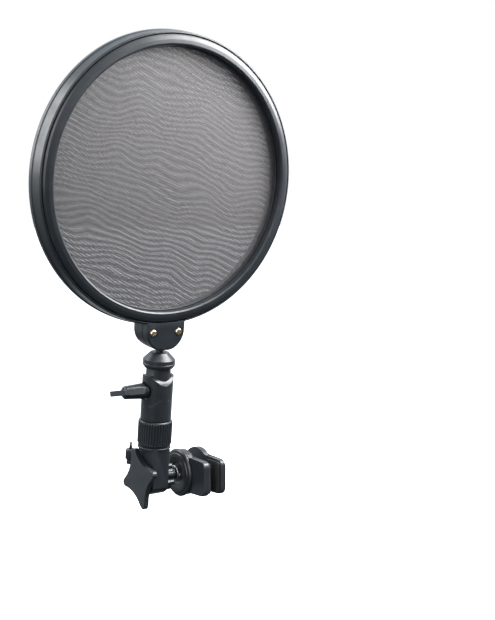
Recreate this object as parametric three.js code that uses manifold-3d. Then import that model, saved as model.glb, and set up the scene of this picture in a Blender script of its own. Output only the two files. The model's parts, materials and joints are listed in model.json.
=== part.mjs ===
// Clamp-on pop filter for a microphone mount: a round two-layer fabric screen on a ball joint,
// a short leaning telescopic arm, and a star-knob jaw clamp that grips a thin vertical rod.
// Millimetres, +Z up. The origin is the middle of the fixed jaw pad, where the rod is gripped.
// X runs along the pivot bolt, from the star knob to the moving jaw. The screen's front faces -Y.
import * as THREE from 'three';
import { mergeVertices } from 'three/addons/utils/BufferGeometryUtils.js';
import Module from 'manifold-3d';

const wasm = await Module();
wasm.setup();

// Driving dimensions.
const RING_R = 75; // outer radius of the screen frame
const SCREEN_R = 67; // radius of the visible fabric
const RING_ABOVE_PIVOT = 157.5; // along the arm, from the pivot bolt to the middle of the screen
const BALL_ABOVE_PIVOT = 78.8; // along the arm, from the pivot bolt to the ball joint
const ARM_LEAN = 7; // degrees that the arm leans towards the front at rest
const SHAFT_R = 6.5; // sliding shaft
const SLEEVE_R = 8.2; // outside of the sleeve that the shaft slides in
const COLLAR_R = 9.1; // fluted lock collar
const KNOB_R = 16.3; // star knob, to the tips of its lobes
const DISC_R = 12.9; // face disc of the clamp
const BOLT_R = 2.4; // M5 pivot bolt
const ROD_GAP = 4.8; // open gap between the jaw pads, for a rod of about 4.2 mm
const GAP = 0.3; // clearance between pieces that touch or turn

const BIG_ROUND = 60; // facets on the screen's rings
const ROUND = 24; // facets on small turned pieces
const RAD = Math.PI / 180;

// Stations along the pivot bolt (X), with the arm's axis at X = 0.
const KNOB_FACE = -9;
const KNOB_PLATE_BACK = -6.2; // the star plate's back, with the knob's hub behind it
const KNOB_BACK = -4.9;
const KNUCKLE_X = [-4.6, 5];
const HUB_X = [5.3, 9.4];
const BUSH_X = [9.7, 13.0];
const WASHER_X = [13.3, 14.3];
const DISC_X = [15.0, 17.2];
const PLATE_X = [17.3, 20.8];
const PAD_THICK = 1.1;
const PAD_FACE = PLATE_X[1] + 0.1 + PAD_THICK;
const JAW_PAD_FACE = PAD_FACE + ROD_GAP;
const JAW_X = [JAW_PAD_FACE + PAD_THICK + 0.1, JAW_PAD_FACE + PAD_THICK + 3.1];
const NUT_X = [JAW_X[0] + 1.5, JAW_X[0] + 5.0];
const BOLT_END = NUT_X[1] + 4.0;

// The jaw plates, seen along X.
const JAW_HALF = 9.2; // half their height
const JAW_FRONT = -24; // their front ends, in Y
const ROD_Y = -18; // where the gripped rod stands

// Stations along the arm (Z of the arm's own frame, from the pivot).
const FLANGE_Z = [16.7, 17.8];
const COLLAR_Z = [18.1, 31.9];
const SKIRT_R = 7.3; // the part of the sleeve inside the collar
const SLEEVE_Z = [18.1, 56.4];
const ARCH_Z = 52; // the sleeve's rim at the front and rear, below its arched sides
const ARCH_R = 8.9;
const WING_Z = 48.1; // lock screw
const SHAFT_Z = [34, 59.8];
const FLAT_X = -5.2; // flat on the shaft that the lock screw bears on
const BAND_Z = [61.5, 64.7]; // the stud's flange band
const CONE_TOP = 68.4;
const BAND_R = 8.7;

// Stations across the screen (Y of the arm's own frame), front to rear.
const FRONT_RING_Y = [-5.6, -1.9];
const FRONT_HOOP_Y = [-1.6, -0.2];
const FRONT_MESH_Y = [0.1, 0.5];
const SPACER_Y = [0.8, 2.9];
const REAR_MESH_Y = [3.2, 3.6];
const LEDGE_Y = 3.9;
const REAR_Y = 6.6;
const BOSS_REAR_Y = 8.9; // the boss stands out behind the ring
const RIM_FRONT_Y = -4; // front edge of the rear ring's rim
const RIM_FRONT_R = 73.5; // outside radius there
const RIM_IN = 72.9; // inside radius of the rim
const LEDGE_IN = SCREEN_R + 0.4; // inside radius of the ledge behind the fabric
const FRONT_OUT = 72.5; // outside radius of the front ring
const HOOP_OUT = 71.8;

// Ball joint, radii.
const BALL_R = 3.8;
const CUP_R = [4.05, 4.95];
const SOCKET_R = 5.2;
const NECK_R = 1.9;
const BOSS_HALF = 11.3;
const BOSS_BOTTOM = 10; // below the ball's centre
const BOSS_ROUND = 10.1; // its bottom is rounded about the ball's centre, clear of the cone
const MOUTH_R = [2.85, 6.35]; // the socket's mouth, near the ball and at its wide end
const MOUTH_DOWN = [2, 13]; // how far below the ball those are
const SCREW_X = 7.6;
const SCREW_UP = 0.9; // the socket screws, above the ball's centre

const BLACK = { color: 0x2b2e33, roughness: 0.5, metalness: 0 };
const DARK_RUBBER = { color: 0x17181a, roughness: 0.85, metalness: 0 };
const STEEL = { color: 0xb9bbbd, roughness: 0.3, metalness: 1 };
const DARK_STEEL = { color: 0x24252a, roughness: 0.5, metalness: 0.6 };
const BRASS = { color: 0xc9b184, roughness: 0.35, metalness: 1 };
const NYLON = { color: 0x8d8a88, roughness: 0.9, metalness: 0 };
const WHITE_PLASTIC = { color: 0xd8d6cf, roughness: 0.5, metalness: 0 };

// ---- helpers ----

function signedVolume(geometry) {
  const p = geometry.attributes.position;
  const index = geometry.index.array;
  const [a, b, c] = [new THREE.Vector3(), new THREE.Vector3(), new THREE.Vector3()];
  let sum = 0;
  for (let i = 0; i < index.length; i += 3) {
    a.fromBufferAttribute(p, index[i]);
    b.fromBufferAttribute(p, index[i + 1]);
    c.fromBufferAttribute(p, index[i + 2]);
    sum += a.dot(b.cross(c));
  }
  return sum / 6;
}

// Merges shared vertices and turns the faces to point out.
function closed(geometry) {
  const bare = geometry.clone();
  bare.deleteAttribute('normal');
  bare.deleteAttribute('uv');
  const merged = mergeVertices(bare, 1e-4);
  const kept = [];
  const index = merged.index.array;
  for (let i = 0; i < index.length; i += 3) {
    const [a, b, c] = [index[i], index[i + 1], index[i + 2]];
    if (a !== b && b !== c && a !== c) {
      kept.push(a, b, c);
    }
  }
  merged.setIndex(kept);
  if (signedVolume(merged) < 0) {
    const flipped = [];
    for (let i = 0; i < kept.length; i += 3) {
      flipped.push(kept[i], kept[i + 2], kept[i + 1]);
    }
    merged.setIndex(flipped);
  }
  return merged;
}

function solid(geometry) {
  const mesh = closed(geometry);
  return new wasm.Manifold(new wasm.Mesh({
    numProp: 3,
    vertProperties: new Float32Array(mesh.attributes.position.array),
    triVerts: new Uint32Array(mesh.index.array),
  }));
}

function geometryOf(manifold) {
  const mesh = manifold.getMesh();
  const geometry = new THREE.BufferGeometry();
  geometry.setAttribute('position', new THREE.BufferAttribute(new Float32Array(mesh.vertProperties), 3));
  geometry.setIndex(new THREE.BufferAttribute(new Uint32Array(mesh.triVerts), 1));
  return geometry;
}

function join(first, ...rest) {
  return geometryOf(rest.reduce((sum, g) => sum.add(solid(g)), solid(first)));
}

function cut(first, ...rest) {
  return geometryOf(rest.reduce((left, g) => left.subtract(solid(g)), solid(first)));
}

function common(first, ...rest) {
  return geometryOf(rest.reduce((shared, g) => shared.intersect(solid(g)), solid(first)));
}

// A profile of [radius, height] points turned about +Z.
function turned(profile, facets = ROUND) {
  const points = profile.map(([r, z]) => new THREE.Vector2(r, z));
  return closed(new THREE.LatheGeometry(points, facets).rotateX(Math.PI / 2));
}

// A closed ring section turned about +Z: its last point is its first.
function turnedRing(profile, facets = ROUND) {
  return turned([...profile, profile[0]], facets);
}

function rod(radius, low, high, facets = ROUND) {
  return turned([[0, low], [radius, low], [radius, high], [0, high]], facets);
}

function tube(inner, outer, low, high, facets = ROUND) {
  return turnedRing([[inner, low], [outer, low], [outer, high], [inner, high]], facets);
}

const alongX = (geometry) => geometry.clone().rotateY(Math.PI / 2);
const alongY = (geometry) => geometry.clone().rotateX(-Math.PI / 2);
const moved = (geometry, x, y, z) => geometry.clone().translate(x, y, z);

function box(x, y, z) {
  const [w, d, h] = [x[1] - x[0], y[1] - y[0], z[1] - z[0]];
  return new THREE.BoxGeometry(w, d, h).translate((x[0] + x[1]) / 2, (y[0] + y[1]) / 2, (z[0] + z[1]) / 2);
}

// A shape drawn in (Y, Z), extruded along X.
function plateYZ(shape, x, steps = 8) {
  const options = { depth: x[1] - x[0], bevelEnabled: false, curveSegments: steps };
  const flat = new THREE.ExtrudeGeometry(shape, options);
  const basis = new THREE.Matrix4().makeBasis(
    new THREE.Vector3(0, 1, 0),
    new THREE.Vector3(0, 0, 1),
    new THREE.Vector3(1, 0, 0),
  );
  return closed(flat.applyMatrix4(basis).translate(x[0], 0, 0));
}

// A shape drawn in (X, Z), extruded along Y.
function plateXZ(shape, y, steps = 8) {
  const options = { depth: y[1] - y[0], bevelEnabled: false, curveSegments: steps };
  const flat = new THREE.ExtrudeGeometry(shape, options);
  return closed(flat.rotateX(Math.PI / 2).translate(0, y[1], 0));
}

function polygon(points) {
  return new THREE.Shape(points.map(([x, y]) => new THREE.Vector2(x, y)));
}

// A round outline whose radius changes with the angle.
function polar(radiusAt, count) {
  const points = [];
  for (let i = 0; i < count; i += 1) {
    const angle = (2 * Math.PI * i) / count;
    const r = radiusAt(angle);
    points.push([r * Math.cos(angle), r * Math.sin(angle)]);
  }
  return polygon(points);
}

// A rectangle with round corners.
function roundedBox([left, right], [low, high], corner) {
  const shape = new THREE.Shape();
  shape.moveTo(left + corner, low);
  shape.absarc(right - corner, low + corner, corner, -Math.PI / 2, 0, false);
  shape.absarc(right - corner, high - corner, corner, 0, Math.PI / 2, false);
  shape.absarc(left + corner, high - corner, corner, Math.PI / 2, Math.PI, false);
  shape.absarc(left + corner, low + corner, corner, Math.PI, 1.5 * Math.PI, false);
  return shape;
}

function hexagon(acrossFlats) {
  return polar(() => acrossFlats / Math.sqrt(3), 6);
}

function part(name, geometry, look) {
  const mesh = new THREE.Mesh(closed(geometry), new THREE.MeshStandardMaterial(look));
  mesh.name = name;
  return mesh;
}

function group(...children) {
  const made = new THREE.Group();
  made.add(...children);
  return made;
}

// ---- clamp: fixed jaw, moving jaw, star knob and bolt ----

// Both jaws have a round end about the bolt and a tongue that reaches forward to the rod.
function jawOutline(radius) {
  const corner = 3;
  const meet = -Math.sqrt(radius * radius - JAW_HALF * JAW_HALF);
  const start = Math.atan2(-JAW_HALF, meet);
  const shape = new THREE.Shape();
  shape.moveTo(JAW_FRONT + corner, -JAW_HALF);
  shape.lineTo(meet, -JAW_HALF);
  shape.absarc(0, 0, radius, start, -start, false);
  shape.lineTo(JAW_FRONT + corner, JAW_HALF);
  shape.absarc(JAW_FRONT + corner, JAW_HALF - corner, corner, Math.PI / 2, Math.PI, false);
  shape.absarc(JAW_FRONT + corner, -JAW_HALF + corner, corner, Math.PI, 1.5 * Math.PI, false);
  return shape;
}

const GUIDE_Y = 8.4;
const GUIDE_R = 1.5;

function clampBody() {
  const plate = plateYZ(jawOutline(DISC_R - 0.4), PLATE_X, 20);
  const bore = alongX(rod(BOLT_R + 0.4, PLATE_X[0] - 1, PLATE_X[1] + 1));
  const pinHole = alongX(rod(GUIDE_R + 0.1, PLATE_X[0] + 0.6, PLATE_X[1] + 1));
  return cut(plate, bore, moved(pinHole, 0, GUIDE_Y, 0));
}

function clampDisc() {
  const [face, back] = DISC_X;
  return alongX(turnedRing([
    [BOLT_R + 0.4, face + 0.9],
    [5.2, face + 0.9],
    [5.8, face + 0.5],
    [8.6, face],
    [10.4, face],
    [10.9, face + 0.5],
    [12.3, face + 0.7],
    [DISC_R, face + 1.3],
    [DISC_R, back],
    [BOLT_R + 0.4, back],
  ], 36));
}

function jawPad(faceX, thickness) {
  const reach = [JAW_FRONT + 1, ROD_Y + 7];
  return box([faceX, faceX + thickness], reach, [-JAW_HALF + 1, JAW_HALF - 1]);
}

function jawPlate() {
  const plate = plateYZ(jawOutline(DISC_R - 0.4), JAW_X, 20);
  const bore = alongX(rod(BOLT_R + 0.4, JAW_X[0] - 1, JAW_X[1] + 1));
  const pinHole = alongX(rod(GUIDE_R + 0.3, JAW_X[0] - 1, JAW_X[1] + 1));
  const pocket = plateYZ(hexagon(8.4), [NUT_X[0] - 0.1, JAW_X[1] + 1]);
  return cut(plate, bore, moved(pinHole, 0, GUIDE_Y, 0), pocket);
}

function jawNut() {
  return cut(plateYZ(hexagon(8), NUT_X), alongX(rod(BOLT_R + 0.2, NUT_X[0] - 1, NUT_X[1] + 1)));
}

function guidePin() {
  return moved(alongX(rod(GUIDE_R, PLATE_X[0] + 0.8, JAW_X[1] + 4, 24)), 0, GUIDE_Y, 0);
}

// Four lobes with shallow hollows between them. The first lobe leans from +Z towards +Y.
function starOutline(tip, tipRound, hollow) {
  const lobes = 4;
  const lean = 18 * RAD;
  const spread = 62 * RAD; // how far each round tip goes either way from its middle
  const onSpoke = (angle, r) => new THREE.Vector2(r * Math.cos(angle), r * Math.sin(angle));
  const shape = new THREE.Shape();
  for (let lobe = 0; lobe < lobes; lobe += 1) {
    const angle = Math.PI / 2 - lean + (2 * Math.PI * lobe) / lobes;
    const next = angle + (2 * Math.PI) / lobes;
    const centre = onSpoke(angle, tip - tipRound);
    shape.absarc(centre.x, centre.y, tipRound, angle - spread, angle + spread, false);
    const end = onSpoke(angle + spread, tipRound).add(centre);
    const start = onSpoke(next - spread, tipRound).add(onSpoke(next, tip - tipRound));
    // A quadratic curve's middle lies halfway between its control point and its chord's middle.
    const control = onSpoke((angle + next) / 2, 2 * hollow).sub(end.clone().add(start).divideScalar(2));
    shape.quadraticCurveTo(control.x, control.y, start.x, start.y);
  }
  return shape;
}

const KNOB_HUB_R = 7.5;

function starKnob() {
  const plate = plateYZ(starOutline(KNOB_R, 2.2, 9.6), [KNOB_FACE + 0.5, KNOB_PLATE_BACK], 5);
  const face = plateYZ(starOutline(KNOB_R - 0.6, 2.0, 9.1), [KNOB_FACE, KNOB_FACE + 0.6], 5);
  const pocket = plateYZ(hexagon(8.4), [KNOB_BACK - 3.0, KNOB_BACK + 1]);
  const hub = alongX(rod(KNOB_HUB_R, KNOB_PLATE_BACK - 1, KNOB_BACK, 32));
  return cut(join(plate, face, hub), pocket);
}

function pivotBolt() {
  const head = plateYZ(hexagon(8), [KNOB_BACK - 2.9, KNOB_BACK]);
  return join(head, alongX(rod(BOLT_R, KNOB_BACK - 0.5, BOLT_END, 24)));
}

function clamp() {
  return group(
    part('clamp_body', clampBody(), BLACK),
    part('clamp_disc', clampDisc(), BLACK),
    part('fixed_jaw_pad', jawPad(PAD_FACE - PAD_THICK, PAD_THICK), DARK_RUBBER),
    part('guide_pin', guidePin(), STEEL),
    part('bolt_washer', alongX(tube(BOLT_R + 0.3, 4.3, ...WASHER_X)), STEEL),
    part('jaw_plate', jawPlate(), BLACK),
    part('moving_jaw_pad', jawPad(JAW_PAD_FACE, PAD_THICK), DARK_RUBBER),
    part('jaw_nut', jawNut(), STEEL),
    part('star_knob', starKnob(), BLACK),
    part('pivot_bolt', pivotBolt(), STEEL),
  );
}

// ---- arm: knuckle, hub, swivel, collar ----

const LUG_Y = 21.8; // the rear lug's stud
const LUG_X = -1.1;
const LUG_Z = [0.7, 2.9];
const LUG_NUT_R = 2.75;
const LUG_NUT_HIGH = 6;
const LUG_STUD_TOP = 12.9;
const SPIGOT_R = 4.5; // what the sleeve swivels on
const SPIGOT_TOP = 26.7;
const CHEEK_HALF = 8.4; // half the cheek's width
const CHEEK_ROUND = 9.2; // radius of its end about the bolt
const FLANGE_R = 8.8;

// The arm's foot: a flat cheek on the bolt, a flange and spigot above it, and a lug behind.
function pivotKnuckle() {
  const shape = new THREE.Shape();
  const start = Math.acos(CHEEK_HALF / CHEEK_ROUND);
  shape.moveTo(-CHEEK_HALF, FLANGE_Z[0] + 0.5);
  shape.absarc(0, 0, CHEEK_ROUND, Math.PI - start, 2 * Math.PI + start, false);
  shape.lineTo(CHEEK_HALF, FLANGE_Z[0] + 0.5);
  const column = plateYZ(shape, KNUCKLE_X, 16);
  const flange = rod(FLANGE_R, ...FLANGE_Z, 32);
  const spigot = rod(SPIGOT_R, FLANGE_Z[0], SPIGOT_TOP);
  const lug = box([LUG_X - 1.6, LUG_X + 2.0], [6, LUG_Y], LUG_Z);
  const lugEnd = moved(rod(2.0, ...LUG_Z, 20), LUG_X, LUG_Y, 0);
  const bore = alongX(rod(BOLT_R + 0.4, KNUCKLE_X[0] - 1, KNUCKLE_X[1] + 1));
  const screwHole = rod(1.7, 20, 28);
  const studHole = moved(rod(1.1, LUG_Z[0] - 1, LUG_Z[1] + 1, 20), LUG_X, LUG_Y, 0);
  return cut(join(column, flange, spigot, lug, lugEnd), bore, screwHole, studHole);
}

// The hub has nine deep flutes round it.
function pivotHub() {
  const outline = polar((a) => 7.3 + 0.8 * Math.tanh(2.2 * Math.cos(9 * a)), 54);
  return cut(plateYZ(outline, HUB_X), alongX(rod(BOLT_R + 0.4, HUB_X[0] - 1, HUB_X[1] + 1)));
}

function lugStud() {
  const base = rod(0.8, LUG_Z[0], LUG_STUD_TOP - 1.9, 20);
  const tip = rod(0.65, LUG_STUD_TOP - 2.4, LUG_STUD_TOP, 20);
  return moved(join(base, tip), LUG_X, LUG_Y, 0);
}

function lugNut() {
  const ridge = 0.12;
  const outline = polar((a) => LUG_NUT_R - ridge + ridge * Math.cos(14 * a), 42);
  const barrel = new THREE.ExtrudeGeometry(outline, { depth: LUG_NUT_HIGH, bevelEnabled: false });
  const bore = rod(1.05, -1, LUG_NUT_HIGH + 1, 20);
  return moved(cut(closed(barrel), bore), LUG_X, LUG_Y, LUG_Z[1] + GAP);
}

function swivelScrew() {
  return turned([[0, 21], [1.5, 21], [1.5, 29.3], [3.4, 29.3], [3.4, 31.1], [0, 31.1]]);
}

// The collar is smooth at its ends and has fine flutes between them.
function flutedCollar() {
  const flutes = 40;
  const deep = 0.25;
  const fluted = polar((a) => COLLAR_R - deep + deep * Math.cos(flutes * a), flutes * 4);
  const options = { depth: COLLAR_Z[1] - COLLAR_Z[0] - 1.2, bevelEnabled: false };
  const body = closed(new THREE.ExtrudeGeometry(fluted, options)).translate(0, 0, COLLAR_Z[0] + 0.8);
  const foot = rod(COLLAR_R - 1.0, COLLAR_Z[0], COLLAR_Z[0] + 1);
  const top = rod(COLLAR_R - 0.5, COLLAR_Z[1] - 0.6, COLLAR_Z[1]);
  return cut(join(body, foot, top), rod(SKIRT_R + GAP, COLLAR_Z[0] - 1, COLLAR_Z[1] + 1));
}

// ---- sleeve, lock screw and shaft ----

// A D-shaped section: a round bar with a flat on its -X side, from one height to another.
function dBar(radius, flatX, low, high) {
  const off = box([-radius - 2, flatX], [-radius - 2, radius + 2], [low - 1, high + 1]);
  return cut(rod(radius, low, high, 32), off);
}

const onScrew = (geometry) => moved(alongX(geometry), 0, 0, WING_Z);
const SEAT_R = 4.9; // the round recess that the lock screw's foot stands in
const SEAT_X = -6.2; // and its floor
const INSERT_R = 2.8; // brass thread insert, which stands up from that floor
const INSERT_X = [-7.6, FLAT_X - GAP - 0.05];

// The sleeve's rim is an arch at each side, over the lock screw.
function sleeve() {
  const low = turned([
    [0, SLEEVE_Z[0]],
    [SKIRT_R, SLEEVE_Z[0]],
    [SKIRT_R, COLLAR_Z[1] + GAP],
    [SLEEVE_R, COLLAR_Z[1] + GAP],
    [SLEEVE_R, ARCH_Z],
    [0, ARCH_Z],
  ], 32);
  const tall = rod(SLEEVE_R, COLLAR_Z[1] + 2, SLEEVE_Z[1], 32);
  const arch = onScrew(rod(ARCH_R, -SLEEVE_R - 1, SLEEVE_R + 1, 32));
  const bore = dBar(SHAFT_R + GAP, FLAT_X - GAP, 29, SLEEVE_Z[1] + 2);
  const journal = rod(SPIGOT_R + GAP, SLEEVE_Z[0] - 1, 27);
  const screwHole = rod(1.8, 26, 30);
  const recess = onScrew(rod(SEAT_R, -SLEEVE_R - 2, SEAT_X, 28));
  const insertHole = onScrew(rod(INSERT_R + GAP, -SLEEVE_R - 2, 0));
  return cut(join(low, common(tall, arch)), bore, journal, screwHole, recess, insertHole);
}

function threadInsert() {
  return onScrew(tube(LOCK_STUD_R + 0.25, INSERT_R, ...INSERT_X, 24));
}

const WING_HUB = [-20.5, SEAT_X - GAP]; // the hub's ends
const WING_HUB_R = [3.4, 4.2, 3.95]; // its radii at the outer end, at its thickest and in the recess
const WING_WAIST_X = -9.2; // where it is thickest
const WING_X = [-24.2, -11.7];
const WING_HALF = 9;
const WING_THICK = 2.9;
const WING_CORNER = 2;
const WING_TURN = -17; // degrees about the screw, from level with the arm's front
const LOCK_STUD_R = 1.6;

function wingBlade() {
  const outline = roundedBox(WING_X, [-WING_HALF, WING_HALF], WING_CORNER);
  const options = { depth: WING_THICK, bevelEnabled: false, curveSegments: 5 };
  const blade = closed(new THREE.ExtrudeGeometry(outline, options));
  return moved(blade.translate(0, 0, -WING_THICK / 2).rotateX(WING_TURN * RAD), 0, 0, WING_Z);
}

function wingScrew() {
  const [outer, thickest, foot] = WING_HUB_R;
  const hub = onScrew(turned([
    [0, WING_HUB[0]],
    [outer - 0.7, WING_HUB[0]],
    [outer, WING_HUB[0] + 0.8],
    [thickest, WING_WAIST_X],
    [foot, WING_WAIST_X + 0.6],
    [foot, WING_HUB[1]],
    [0, WING_HUB[1]],
  ]));
  const hole = onScrew(rod(LOCK_STUD_R + 0.2, -16, WING_HUB[1] + 1, 20));
  const insertRoom = onScrew(rod(INSERT_R + GAP, INSERT_X[0] - GAP, WING_HUB[1] + 1, 24));
  return cut(join(hub, wingBlade()), hole, insertRoom);
}

function wingStud() {
  return onScrew(rod(LOCK_STUD_R, -15.7, -6.5, 24));
}

function pressurePad() {
  return onScrew(rod(1.5, -6.3, FLAT_X - 0.15, 24));
}

// The flat is a little shallower over the shaft's foot, so that the lock screw keeps the shaft in.
function mastShaft() {
  const foot = rod(SHAFT_R, SHAFT_Z[0], SHAFT_Z[0] + 2.5, 32);
  const upper = dBar(SHAFT_R, FLAT_X, SHAFT_Z[0] + 2, SHAFT_Z[1]);
  const relief = dBar(SHAFT_R, FLAT_X - GAP / 2, SHAFT_Z[0] - 1, SHAFT_Z[0] + 3);
  const pocket = rod(4.2, SHAFT_Z[0] - 1, SHAFT_Z[0] + 4);
  const socket = rod(3.8, 48, SHAFT_Z[1] + 1);
  return cut(join(common(foot, relief), upper), pocket, socket);
}

// ---- ball joint and screen ----

function ballStud() {
  const centre = BALL_ABOVE_PIVOT;
  const spigot = 3.5;
  const foot = SHAFT_Z[1] + GAP; // the flange stands just above the shaft
  const profile = [[0, 49], [spigot, 49], [spigot, foot], [BAND_R - 1.1, foot]];
  profile.push([BAND_R, BAND_Z[0]], [BAND_R, BAND_Z[1]], [4.8, CONE_TOP], [NECK_R, CONE_TOP + 0.1]);
  const neckAngle = -Math.acos(NECK_R / BALL_R);
  const steps = 8;
  for (let i = 0; i < steps; i += 1) {
    const a = neckAngle + ((Math.PI / 2 - neckAngle) * i) / steps;
    profile.push([BALL_R * Math.cos(a), centre + BALL_R * Math.sin(a)]);
  }
  return turned([...profile, [0, centre + BALL_R]]);
}

// An arc of [radius, height] points on a sphere about the ball's centre.
function sphereArc(radius, from, to, count) {
  const points = [];
  for (let i = 0; i <= count; i += 1) {
    const a = from + ((to - from) * i) / count;
    const r = Math.abs(Math.abs(a) - Math.PI / 2) < 1e-9 ? 0 : radius * Math.cos(a);
    points.push([r, BALL_ABOVE_PIVOT + radius * Math.sin(a)]);
  }
  return points;
}

function ballCup() {
  const mouth = 2.9;
  const inner = sphereArc(CUP_R[0], Math.PI / 2, -Math.acos(mouth / CUP_R[0]), 7);
  const outer = sphereArc(CUP_R[1], -Math.acos(mouth / CUP_R[1]), Math.PI / 2, 7);
  return turned([...inner, ...outer], 20);
}

// The socket's hollow: a sphere for the cup and a flared mouth below it for the neck.
function socketHollow() {
  const sphere = turned(sphereArc(SOCKET_R, -Math.PI / 2, Math.PI / 2, 10), 20);
  const z = BALL_ABOVE_PIVOT;
  const [near, wide] = [z - MOUTH_DOWN[0], z - MOUTH_DOWN[1]];
  const mouth = turned([[0, wide], [MOUTH_R[1], wide], [MOUTH_R[0], near], [0, near]], 20);
  return join(sphere, mouth);
}

// The boss under the ring, between two depths: U-shaped from the front and rounded below.
function boss(front, rear, top) {
  const z = BALL_ABOVE_PIVOT;
  const shape = new THREE.Shape();
  const centre = z - BOSS_BOTTOM + BOSS_HALF;
  shape.moveTo(-BOSS_HALF, top);
  shape.absarc(0, centre, BOSS_HALF, Math.PI, 2 * Math.PI, false);
  shape.lineTo(BOSS_HALF, top);
  const upright = plateXZ(shape, [front, rear], 16);
  const side = new THREE.Shape();
  side.moveTo(-BOSS_ROUND, top + 1);
  side.absarc(0, z, BOSS_ROUND, Math.PI, 2 * Math.PI, false);
  side.lineTo(BOSS_ROUND, top + 1);
  return common(upright, plateYZ(side, [-BOSS_HALF - 1, BOSS_HALF + 1], 16));
}

function onRing(geometry) {
  return moved(alongY(geometry), 0, 0, RING_ABOVE_PIVOT);
}

function rearRing() {
  const rim = onRing(turnedRing([
    [LEDGE_IN, REAR_Y - 0.5],
    [RING_R - 1.6, REAR_Y],
    [RING_R - 0.4, REAR_Y - 0.4],
    [RING_R, REAR_Y - 1.3],
    [RING_R - 0.1, REAR_Y - 2.6],
    [RIM_FRONT_R + 0.3, RIM_FRONT_Y + 0.4],
    [RIM_FRONT_R, RIM_FRONT_Y],
    [RIM_IN, RIM_FRONT_Y],
    [RIM_IN, LEDGE_Y],
    [LEDGE_IN, LEDGE_Y],
  ], BIG_ROUND));
  const rear = boss(0, BOSS_REAR_Y, RING_ABOVE_PIVOT - RIM_FRONT_R);
  const z = BALL_ABOVE_PIVOT + SCREW_UP;
  const insertHole = alongY(rod(2.2, -1, 4.5, 16));
  return cut(
    join(rim, rear),
    socketHollow(),
    moved(insertHole, SCREW_X, 0, z),
    moved(insertHole, -SCREW_X, 0, z),
  );
}

function frontRing() {
  const [front, back] = FRONT_RING_Y;
  return onRing(turnedRing([
    [SCREEN_R + 0.2, front + 0.3],
    [SCREEN_R + 0.8, front],
    [FRONT_OUT - 0.8, front + 0.6],
    [FRONT_OUT - 0.1, front + 1.2],
    [FRONT_OUT, back],
    [SCREEN_R, back],
  ], BIG_ROUND));
}

function hoop(inner, y) {
  return onRing(tube(inner, HOOP_OUT, ...y, BIG_ROUND));
}

function meshDisc(y) {
  return onRing(rod(HOOP_OUT - 0.2, ...y, BIG_ROUND));
}

const COVER_Y = [-5.4, -GAP];

// The cover's top fits round the front ring and the rim of the rear ring, with a small gap.
function socketCover() {
  const apart = GAP + 0.1;
  const cover = boss(...COVER_Y, RING_ABOVE_PIVOT - FRONT_OUT);
  const frame = onRing(turned([
    [0, -8],
    [FRONT_OUT + apart, -8],
    [FRONT_OUT + apart, RIM_FRONT_Y - apart],
    [RIM_FRONT_R + apart, RIM_FRONT_Y - apart],
    [RING_R, 1],
    [0, 1],
  ], BIG_ROUND));
  const z = BALL_ABOVE_PIVOT + SCREW_UP;
  const hole = join(alongY(rod(1.35, -8, 2, 14)), alongY(rod(2.15, -8, -4.2, 18)));
  return cut(cover, frame, socketHollow(), moved(hole, SCREW_X, 0, z), moved(hole, -SCREW_X, 0, z));
}

function socketScrew(x) {
  const profile = [[0, -5.9], [1.3, -5.9], [1.85, -5.5], [1.85, -4.5], [1.1, -4.5], [1.1, 3.6], [0, 3.6]];
  return moved(alongY(turned(profile, 16)), x, 0, BALL_ABOVE_PIVOT + SCREW_UP);
}

function socketInsert(x) {
  return moved(alongY(tube(1.3, 1.95, GAP, 4.1, 16)), x, 0, BALL_ABOVE_PIVOT + SCREW_UP);
}

function arm() {
  const leaning = group(
    part('pivot_knuckle', pivotKnuckle(), BLACK),
    part('pivot_hub', pivotHub(), BLACK),
    part('spacer_bush', alongX(tube(BOLT_R + 0.3, 3.5, ...BUSH_X)), BLACK),
    part('swivel_screw', swivelScrew(), STEEL),
    part('lug_stud', lugStud(), DARK_STEEL),
    part('lug_nut', lugNut(), BLACK),
    part('fluted_collar', flutedCollar(), BLACK),
    part('sleeve', sleeve(), BLACK),
    part('thread_insert', threadInsert(), BRASS),
    part('wing_screw', wingScrew(), BLACK),
    part('wing_stud', wingStud(), STEEL),
    part('pressure_pad', pressurePad(), BRASS),
    part('mast_shaft', mastShaft(), BLACK),
    part('ball_stud', ballStud(), BLACK),
    part('ball_cup', ballCup(), WHITE_PLASTIC),
    part('rear_ring', rearRing(), BLACK),
    part('front_ring', frontRing(), BLACK),
    part('front_hoop', hoop(SCREEN_R - 0.8, FRONT_HOOP_Y), BLACK),
    part('spacer_hoop', hoop(SCREEN_R, SPACER_Y), BLACK),
    part('front_mesh', meshDisc(FRONT_MESH_Y), NYLON),
    part('rear_mesh', meshDisc(REAR_MESH_Y), NYLON),
    part('socket_cover', socketCover(), BLACK),
    part('socket_screw_left', socketScrew(-SCREW_X), BRASS),
    part('socket_screw_right', socketScrew(SCREW_X), BRASS),
    part('socket_insert_left', socketInsert(-SCREW_X), BRASS),
    part('socket_insert_right', socketInsert(SCREW_X), BRASS),
  );
  leaning.rotation.x = ARM_LEAN * RAD;
  return leaning;
}

const popFilter = group(clamp(), arm());
popFilter.position.set(-PAD_FACE, -ROD_Y, 0);

export default popFilter;
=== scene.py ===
"""Looks of the clamp-on pop filter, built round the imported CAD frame.

Shapes are drawn in millimetres in one of two frames of their own. CLAMP has its origin on the pivot
bolt with the frame's axes, and ARM is the same frame leaning with the arm: its Z runs up the arm and
its Y runs through the screen from front to rear. X runs along the pivot bolt in both.
"""

import json
import math

import bmesh
import bpy
from mathutils import Matrix, Vector

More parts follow.
